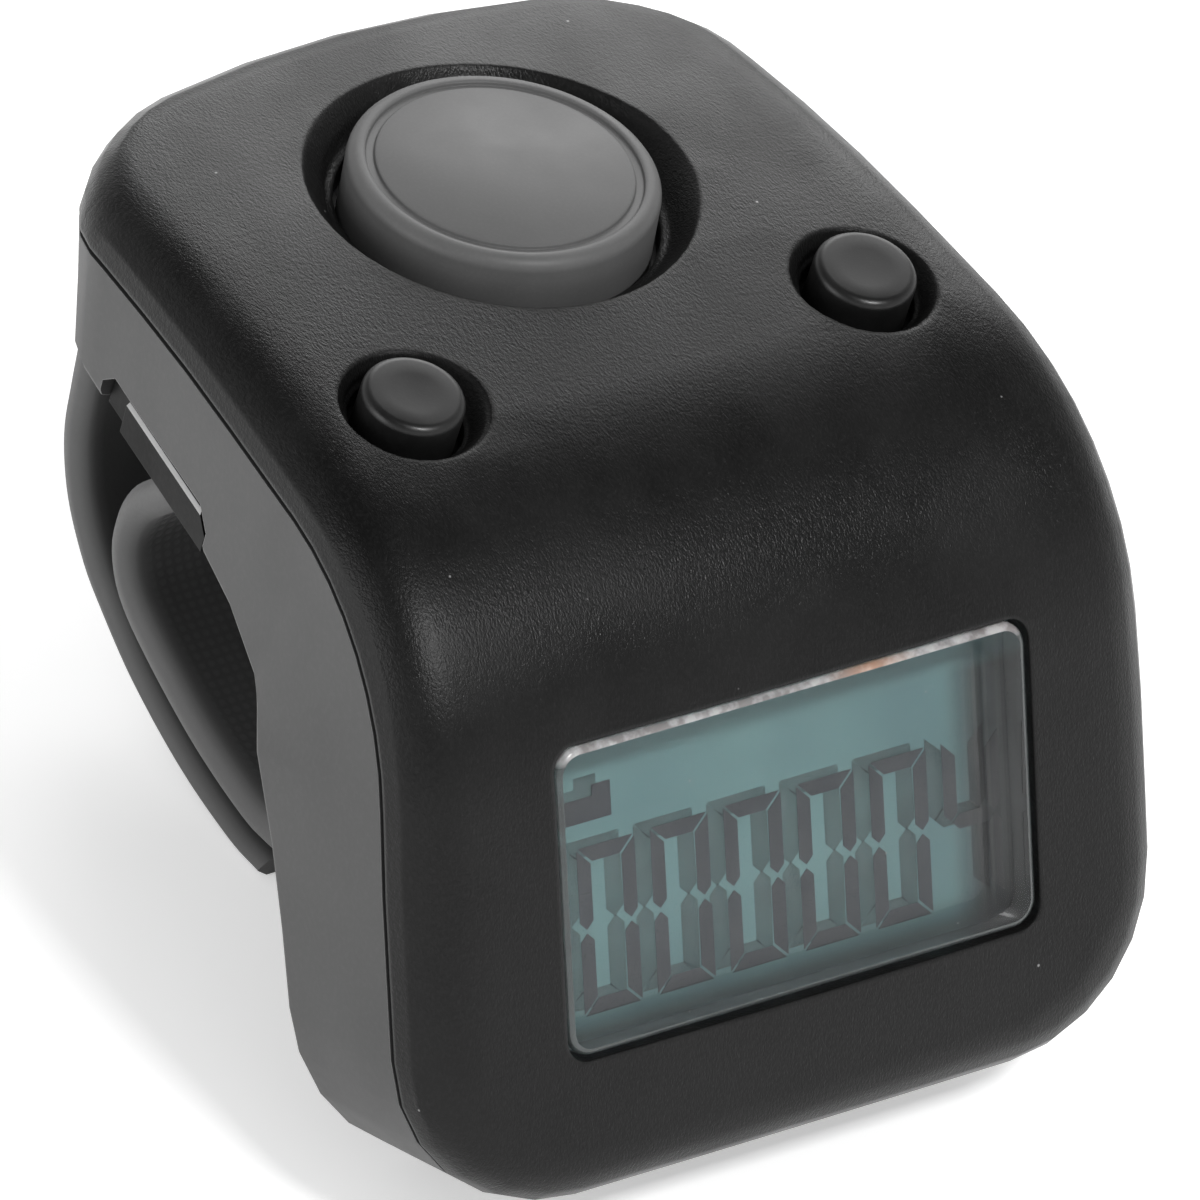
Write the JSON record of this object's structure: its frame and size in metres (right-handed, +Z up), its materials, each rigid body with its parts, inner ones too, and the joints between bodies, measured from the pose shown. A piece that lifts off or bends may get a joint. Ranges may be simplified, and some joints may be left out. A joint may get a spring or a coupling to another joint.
{
  "type": "finger tally counter",
  "caption": "Finger-worn digital prayer counter: arched housing with a round count key, small keys, a display window and a silicone strap that closes the finger ring.",
  "frame": {"origin": "middle of the footprint on the standing plane, which touches the lowest part of the strap; the foot of the display leg ends 0.13 mm above it", "axes": "+X to the wearer's right when the display faces the viewer, +Y from the display to the back, +Z up along the count key's axis; the finger passes along X"},
  "size_m": [0.028, 0.0338, 0.024],
  "materials": {
    "shell_black": "fine spark-eroded texture, semi-matt",
    "frame_satin": "smooth satin",
    "cover_black": "satin",
    "strap_silicone": "soft matt silicone",
    "button_grey": "smooth matt",
    "button_black": "satin",
    "plunger_black": "satin",
    "switch_black": "satin",
    "screw_steel": "plain",
    "board_green": "solder mask on glass-epoxy board",
    "lens_clear": "clear moulded plastic",
    "lcd_glass": "teal-grey liquid crystal cell",
    "bezel_white": "white moulding",
    "contact_rubber": "layered contact rubber",
    "guide_white": "frosted light guide",
    "led_amber": "clear amber",
    "contact_steel": "sprung sheet",
    "cell_steel": "bright",
    "chip_black": "epoxy drop",
    "ribbon_film": "amber film"
  },
  "bodies": {
    "housing": {"top_shell": "shell_black", "middle_frame": "frame_satin", "saddle_cover": "cover_black", "strap": "strap_silicone", "count_switch": "switch_black", "left_switch": "switch_black", "right_switch": "switch_black", "rear_screw_left": "screw_steel", "rear_screw_right": "screw_steel", "leg_screw_left": "screw_steel", "leg_screw_right": "screw_steel", "key_board": "board_green", "display_lens": "lens_clear", "lcd_cell": "lcd_glass", "display_bezel": "bezel_white", "zebra_strip": "contact_rubber", "light_guide": "guide_white", "backlight_led": "led_amber", "display_board": "board_green", "cell_spring": "contact_steel", "coin_cell": "cell_steel", "cell_clip": "contact_steel", "controller_chip": "chip_black", "ribbon_cable": "ribbon_film"},
    "count_key": {"count_button": "button_grey", "count_plunger": "plunger_black"},
    "left_key": {"left_button": "button_black", "left_plunger": "plunger_black"},
    "right_key": {"right_button": "button_black", "right_plunger": "plunger_black"}
  },
  "joints": [
    {"name": "count_press", "type": "slide", "parent": "housing", "child": "count_key", "axis": [0, 0, -1], "range_m": [0, 0.0005], "stiffness_N_per_m": 400, "springref_m": -0.001},
    {"name": "left_press", "type": "slide", "parent": "housing", "child": "left_key", "axis": [0, 0.1564, -0.9877], "range_m": [0, 0.0004], "stiffness_N_per_m": 400, "springref_m": -0.001},
    {"name": "right_press", "type": "slide", "parent": "housing", "child": "right_key", "axis": [0, 0.1564, -0.9877], "range_m": [0, 0.0004], "stiffness_N_per_m": 400, "springref_m": -0.001}
  ]
}
